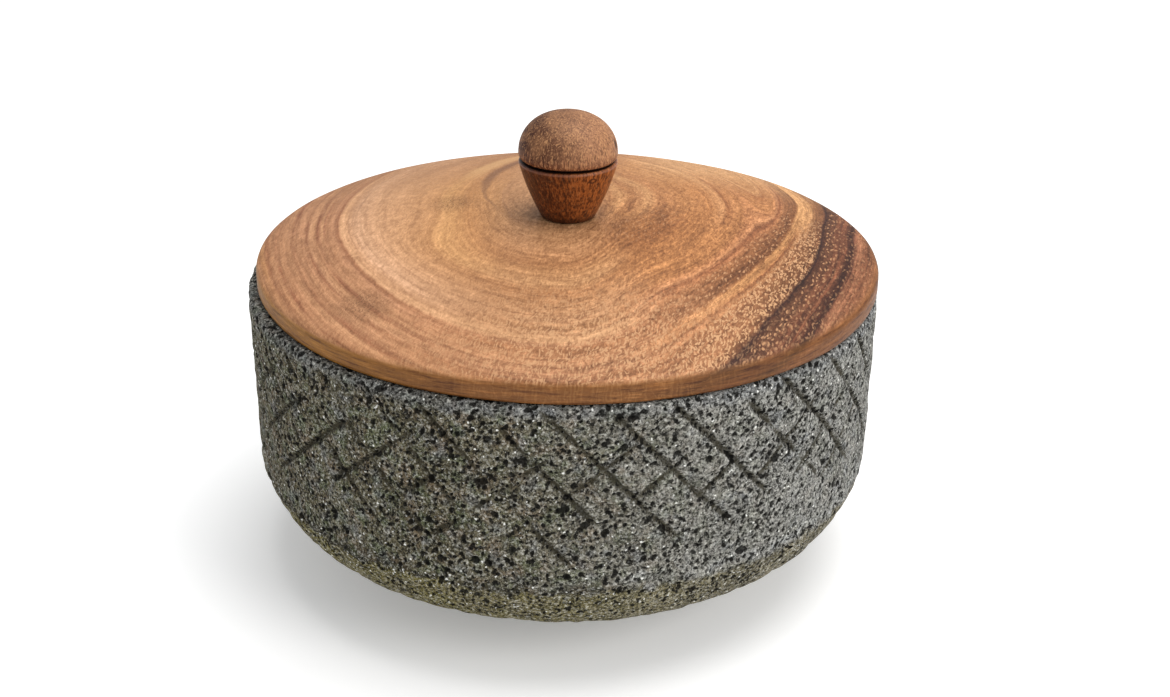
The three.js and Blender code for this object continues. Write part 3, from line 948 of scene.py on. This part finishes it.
def lid_look():
    """Oiled hardwood: closed growth rings around a slanting pith, fibres and pores along the depth."""
    look = Look("lid_wood", on_lid)
    about = look.coordinates.moved((-LID_CENTRE_X, 0, -crown_height(0)))
    mm = about.scaled(1000)
    unit = about.scaled(1 / LID_RADIUS)
    u, v, _ = unit.split()
    ring, sideways = growth_ring(unit)
    rightward = sideways.ease(0.1, 0.42)
    drift = unit.wander(2.2, 2, 0.02)
    frayed = mm.wander((0.5, 0.12, 0.5), 3, 0.009)
    whole = ring + drift + frayed
    along = look.math("ARCTAN2", u, v - 0.3)
    left = ring_ramp(look, whole, LEFT_RINGS, LID_LIGHT_LEFT)
    worn = look.joined(whole * 22, along * 3.5, u).noise(1, 2, 0.6)
    worn = worn.ease(0.42, 0.58, 0, 0.75) * whole.ease(0.855, 0.87)
    left = look.mix(worn, left, on_lid(184, 134, 97, LID_LIGHT_LEFT))
    look.colour = look.mix(sideways.ease(-0.2, -0.7), ring_ramp(look, whole, FRONT_RINGS, LID_LIGHT), left)
    right = ring_ramp(look, whole, RIGHT_RINGS, LID_LIGHT_RIGHT)
    gold = whole.band(0.89, 0.91, 0.955, 0.985)
    right = look.mix(gold * v.ease(-0.1, 0.2, 0, 0.9), right, (228, 170, 114))
    inside = ring.ease(0.8, 0.74) * v.ease(-0.1, 0.2)
    right = look.mix(inside * 0.85, right, ring_ramp(look, whole, INNER_RINGS, LID_LIGHT_RIGHT))
    warm_front = v.ease(-0.35, -0.75) * whole.ease(1.02, 0.98)
    right = look.mix(warm_front * 0.55, right, (214, 152, 106))
    look.paint(rightward, right)
    look.paint(v.ease(0.2, 0.7) * u.ease(0.0, -0.3, 0, 0.5), (186, 136, 96))
    look.paint(v.ease(0.3, 0.75) * u.ease(0.1, 0.4, 0, 0.6), (242, 190, 136))

    edge = look.coordinates.split()[2].ease(CROWN_START + 0.2 * MM, CROWN_START - 1.2 * MM)
    edge = edge * look.joined(u, v, 0).length().ease(0.955, 0.98)
    calm = edge.ease(0, 1, 1, 0.25)

    # Lines that follow the rings, plainest outside the bright ring, and longest at the right.
    busy = ring.ease(0.5, 0.95, 0.65, 1.1) * v.ease(0.6, 0.0, 0.65, 1) * u.ease(-0.5, 0.1, 0.6, 1) * calm
    broad = look.joined(whole * 34, along * 1.2, u).noise(1, 3, 0.65)
    thin = look.joined(whole * 130, along * 2.0, u).noise(1, 2, 0.6)
    dash = look.joined(whole * 80, along * 16, u * 2).noise(1, 2, 0.6)
    streaky = whole.ease(1.05, 1.08) * rightward * calm
    look.streak(broad, busy, 0.32)
    look.streak(thin, busy.larger(streaky * 2.0), 0.5)
    look.streak(dash, busy, 0.42)
    near_knob = look.joined(u - 0.2, v, 0).length().ease(0.26, 0.1)
    look.streak(broad, near_knob, 0.45)

    # Fibres and pores run along the depth.
    x, y, depth = mm.warped(0.35, 2, (1.8, 3.5, 1.8)).split()
    grain = look.joined(x - y * 0.2, y, depth)
    fibre = grain.noise((0.95, 0.3, 0.95), 2, 0.6)
    fine = grain.noise((2.0, 0.55, 2.0), 2, 0.7)
    rough = u.ease(-0.4, 0.3, 0.55, 1.1) * v.ease(0.5, 0.0, 0.5, 1) * edge.ease(0, 1, 1, 0.6)
    look.streak(fibre, rough, 0.4)
    look.streak(fine, rough, 0.62)
    flecked(look, grain, whole, rightward * (1 - edge), unit)
    veined(look, unit)
    smudged(look, unit, grain)
    layers = mm.noise((0.1, 0.1, 1.3), 3, 0.75)
    golden = look.mix(u.ease(-0.2, -0.8), (196, 138, 84), (234, 172, 70))
    look.paint(edge * u.ease(-0.2, -0.8, 0.5, 0.7), golden)
    look.streak(layers, edge, 1.0)
    look.paint(edge, (0.48, 0.4, 0.27, 1), "MULTIPLY")
    height = fine * 0.6 + fibre * 0.4
    normal = look.bump(height, 0.3, 0.2 * MM)
    roughness = fine.ease(0.3, 0.7, 0.62, 0.5)
    return look.finish(roughness, 0.25, {"Normal": normal})


def flecked(look, grain, whole, rightward, unit):
    """Pale flecks: curly ones up to the dark line and in front, and dots in the darker wood."""
    u, v, _ = unit.split()
    frontward = v.ease(-0.35, -0.8) * u.ease(-0.6, 0.1, 0.3, 1) * u.ease(0.2, 0.5, 1, 0.3)
    curl = grain.noise((0.5, 0.2, 0.5), 1, 0.5)
    chopped = grain.noise((0.7, 0.35, 0.7), 1, 0.5).ease(0.44, 0.54)
    worm = abs(curl - 0.5).ease(0.035, 0.01) * chopped
    near, bright, _, _ = grain.scaled((0.95, 0.34, 1)).cells(dimensions="2D")
    dot = near.ease(0.33, 0.16) * bright.ease(0.0, 0.8, 0.1, 1)
    near, bright, _, _ = grain.moved((40, 20, 0)).scaled((1.15, 0.42, 1)).cells(dimensions="2D")
    grainy = near.ease(0.34, 0.18) * bright.ease(0.25, 0.5)
    worm = worm.larger(grainy, dot * 0.8)

    curly = whole.band(0.925, 0.945, 1.006, 1.018) * v.ease(0.35, -0.1)
    inner = whole.band(0.82, 0.85, 0.892, 0.905)
    dotted = (inner * v.ease(0.35, 0.1)).larger(whole.ease(1.02, 1.034))
    dotted = dotted * whole.ease(1.05, 1.075, 1, 0.5)
    across = (u - 0.23) * 0.84 - (v + 0.07) * 0.54
    along = (u - 0.23) * 0.54 + (v + 0.07) * 0.84
    beside_knob = look.joined(across * 9, along * 3.6, 0).length().ease(1.1, 0.4)
    curly = (curly * rightward).larger(frontward * 0.8)
    dotted = (dotted * rightward).larger(beside_knob * 0.55)
    between = curly.larger(dotted)
    darker = between * 0.3 + beside_knob * 0.45
    look.paint(darker, (0.7, 0.64, 0.6, 1), "MULTIPLY")
    dusky = whole.ease(0.955, 1.01) * rightward * v.ease(0.2, -0.1)
    look.paint(dusky * 0.3, (0.62, 0.58, 0.55, 1), "MULTIPLY")
    look.paint(curly * worm * 0.95, (236, 182, 134))
    look.paint(dotted * dot * 0.8, (224, 168, 122))


def veined(look, unit):
    """A dark vein that bends round the knob's left, with a golden one outside it towards the back."""
    u, v, _ = unit.split()
    from_turn = v - VEIN_TURN[1]
    wander = unit.wander(9, 2, 0.03)
    bend = from_turn * from_turn * -0.75
    off = u - VEIN_TURN[0] + bend + wander
    far = abs(off) / v.ease(0.2, 0.45, 0.008, 0.024)
    vein = far.ease(1.3, 0.3) * v.band(0.02, 0.12, 0.8, 0.95)
    look.paint(vein * v.ease(0.2, 0.45, 0.4, 0.7), (136, 96, 72))
    golden = abs(off + 0.07).ease(0.05, 0.015)
    look.paint(golden * v.ease(0.4, 0.6, 0, 0.5), (238, 188, 132))


def smudged(look, unit, grain):
    """Hairline cracks with grey dirt in them, in two places left of the knob."""
    hairs = grain.noise((0.9, 0.5, 0.9), 3, 0.7)
    hairline = abs(hairs - 0.5).ease(0.02, 0.005)
    for place, reach in SMUDGES:
        near = unit.moved((-place[0], -place[1], 0)).scaled((1, 1, 0)).length().ease(reach, 0.2 * reach)
        look.paint(near * (hairline * 0.75 + 0.18), (92, 64, 46))


def away_from(mm, angle, radius, height, factors):
    """Distance from a place on the knob, each axis times its factor. The origin is the groove's centre."""
    back = (-math.sin(angle) * radius / MM, math.cos(angle) * radius / MM, -height / MM)
    return mm.moved(back).scaled(factors).length()


def knob_look():
    """Dark upright-grained hardwood, dry and golden brown on the dome, oiled below the burnt groove, with
    painted shade on the left and painted light on the right.
    """
    look = Look("knob_wood")
    about = look.coordinates.moved((-LID_CENTRE_X, 0, -GROOVE_HEIGHT))
    mm = about.scaled(1000)
    x, _, z = mm.split()
    streak = mm.noise((0.9, 0.9, 0.07), 3, 0.65)
    fine = mm.noise((2.4, 2.4, 0.3), 2, 0.6)
    worm = mm.warped(0.4, 1, 2.2).noise((2.3, 2.3, 1.0), 1)
    pores = mm.noise((2.0, 2.0, 0.09), 2, 0.6)
    mottle = mm.noise(0.16, 2, 0.6)
    dome = z.ease(-0.2, 0.4)
    # The dome's colour goes from dark on the left to light on the right: painted shade and painted light,
    # lit from the right.
    rightward = x.ease(-12, 10)
    dry = look.mix(rightward, (68, 34, 18), (164, 116, 82))
    dry = look.mix(streak.ease(0.54, 0.36, 0, 0.28), dry, (92, 54, 34))
    dry = look.mix(mottle.ease(0.45, 0.65, 0, 0.4), dry, (176, 126, 86))
    dry = look.mix(z.ease(3.5, 0.5) * 0.6, dry, (104, 54, 28))
    upright = z.ease(7, 2) * pores.ease(0.5, 0.64)
    dry = look.mix(upright * 0.6, dry, (190, 132, 90))
    # The cone's colour goes from dark on the left to light on the right: painted shade and painted light,
    # as on the dome.
    oiled = look.mix(rightward, (76, 30, 10), (164, 92, 42))
    oiled = look.mix(streak.ease(0.56, 0.36, 0, 0.7), oiled, (60, 24, 10))
    oiled = look.mix(streak.ease(0.55, 0.7, 0, 0.45), oiled, (176, 104, 52))
    oiled = look.mix(pores.ease(0.5, 0.38, 0, 0.75), oiled, (48, 18, 8))
    oiled = look.mix(pores.ease(0.56, 0.66, 0, 0.4), oiled, (186, 112, 56))
    look.colour = look.mix(dome, oiled, dry)
    look.paint(fine.ease(0.5, 0.32, 0, 0.5), (54, 26, 14))
    look.paint(worm.ease(0.46, 0.34) * dome.ease(0, 1, 0.1, 0.5), (66, 34, 20))
    look.paint(worm.ease(0.55, 0.66) * dome.ease(0, 1, 0.1, 0.45), (204, 152, 104))
    burnt = z.band(-0.55, -0.35, 0.38, 0.6)
    look.paint(burnt * 0.95, (24, 10, 7))
    # A pinkish-brown band on the cone's rounded top edge: a painted highlight.
    painted_lip_highlight = z.band(-1.5, -1.1, -0.8, -0.6)
    look.paint(painted_lip_highlight * 0.35, (150, 98, 72))
    # Darker at the knob's foot, where it meets the lid: painted shade.
    foot = z.ease(GROOVE_TO_BASE + 2.2, GROOVE_TO_BASE + 0.6)
    look.paint(foot * 0.7, (48, 20, 10))

    away = away_from(mm, KNOT_ANGLE, KNOB_CONE_RADIUS, -KNOT_BELOW_GROOVE, (1, 1, 1.6))
    knot = abs(away - 1.15).ease(0.45, 0.15)
    knot = knot.larger(away.ease(0.6, 0.3))
    look.paint(knot * 0.75, (44, 18, 10))
    bruise = away_from(mm, DENT_ANGLE, KNOB_RADIUS, DENT_ABOVE_GROOVE, (1, 0.8, 0.7)).ease(1.9, 0.9)
    look.paint(bruise * 0.85, (46, 26, 18))
    normal = look.bump(fine + worm * 0.8, 0.4, 0.2 * MM)
    roughness = dome.ease(0, 1, 0.4, 0.6)
    return look.finish(roughness, 0.25, {"Normal": normal})


def steel_look():
    """Zinc-plated steel with turning marks and a little dulling."""
    look = Look("screw_steel")
    mm = look.coordinates.scaled(1000)
    dull = mm.noise(0.8, 3, 0.6)
    look.colour = look.mix(dull, (196, 198, 200), (160, 162, 160))
    marks = mm.noise((0.4, 0.4, 9), 1)
    normal = look.bump(marks, 0.2, 0.05 * MM)
    return look.finish(dull.ease(0.3, 0.7, 0.24, 0.42), 0.5, {"Normal": normal, "Metallic": 1.0})


# ---- pieces ----

def dress(piece, material, body, node):
    piece.data.materials.clear()
    piece.data.materials.append(material)
    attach(piece, body)
    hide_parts(node)


dress(make_stone(), stone_look(), "bowl", "stone_bowl")
dress(make_lid(), lid_look(), "lid", "lid")
dress(make_knob(), knob_look(), "lid", "knob")
dress(make_screw(), steel_look(), "lid", "knob_screw")


# ---- stage, light and camera ----

CAMERA_DISTANCE = 450 * MM
CAMERA_ABOVE_LID = 182.4 * MM
CAMERA_PITCH = math.radians(25.41)
CAMERA_YAW = math.radians(0.67)
CAMERA_ROLL = math.radians(0.45)
CAMERA_LENS = 50.76
CAMERA_SHIFT_Y = 0.01056
SENSOR_WIDTH = 36
FLOOR_HALF = 12.0
FLOOR_HEIGHT = -0.05 * MM
FLOOR_GLOW = 0.25  # keeps the soft shadow faint
AIM = (0, 0, 60 * MM)
LIGHTS = (
    # name, place, size, power and colour
    ("sky", (0.25, 0.1, 1.3), 1.2, 14, (1.0, 0.99, 0.97)),
    ("key", (0.95, -0.75, 0.75), 0.7, 7, (1.0, 0.98, 0.95)),
)
WORLD_COLOUR = (0.95, 0.97, 1.0, 1)
WORLD_STRENGTH = 0.55


def make_floor():
    corners = [(x, y, FLOOR_HEIGHT) for x in (-FLOOR_HALF, FLOOR_HALF) for y in (-FLOOR_HALF, FLOOR_HALF)]
    mesh = bpy.data.meshes.new("floor")
    mesh.from_pydata(corners, [], [(0, 2, 3, 1)])
    floor = added("floor", mesh)
    look = Look("floor")
    look.colour = look.mix(look.coordinates.noise(3, 2), (0.86, 0.86, 0.86, 1), (0.88, 0.88, 0.88, 1))
    glow = {"Emission Color": (1, 1, 1, 1), "Emission Strength": FLOOR_GLOW}
    mesh.materials.append(look.finish(0.9, 0.1, glow))


def make_light(name, place, size, power, colour):
    data = bpy.data.lights.new(name, "AREA")
    data.shape, data.size, data.energy, data.color = "DISK", size, power, colour
    light = added(name, data)
    light.location = place
    light.rotation_euler = (Vector(AIM) - Vector(place)).to_track_quat("-Z", "Y").to_euler()


def make_stage():
    make_floor()
    for light in LIGHTS:
        make_light(*light)
    world = bpy.data.worlds.new("studio")
    bpy.context.scene.world = world
    world.use_nodes = True
    background = world.node_tree.nodes["Background"].inputs
    background["Color"].default_value = WORLD_COLOUR
    background["Strength"].default_value = WORLD_STRENGTH
    bpy.context.scene.view_settings.view_transform = "Standard"


def make_camera():
    data = bpy.data.cameras.new("camera")
    data.lens, data.sensor_width, data.shift_y = CAMERA_LENS, SENSOR_WIDTH, CAMERA_SHIFT_Y
    camera = added("camera", data)
    lid_edge = LID_LOW.z + SPIGOT_DEPTH + LID_LOWER_ROUND * 0.7
    camera.location = (LID_CENTRE_X, -CAMERA_DISTANCE, lid_edge + CAMERA_ABOVE_LID)
    level = Euler((math.pi / 2 - CAMERA_PITCH, 0, -CAMERA_YAW)).to_matrix()
    camera.rotation_euler = (level @ Matrix.Rotation(CAMERA_ROLL, 3, "Z")).to_euler()
    bpy.context.scene.camera = camera


make_stage()
make_camera()
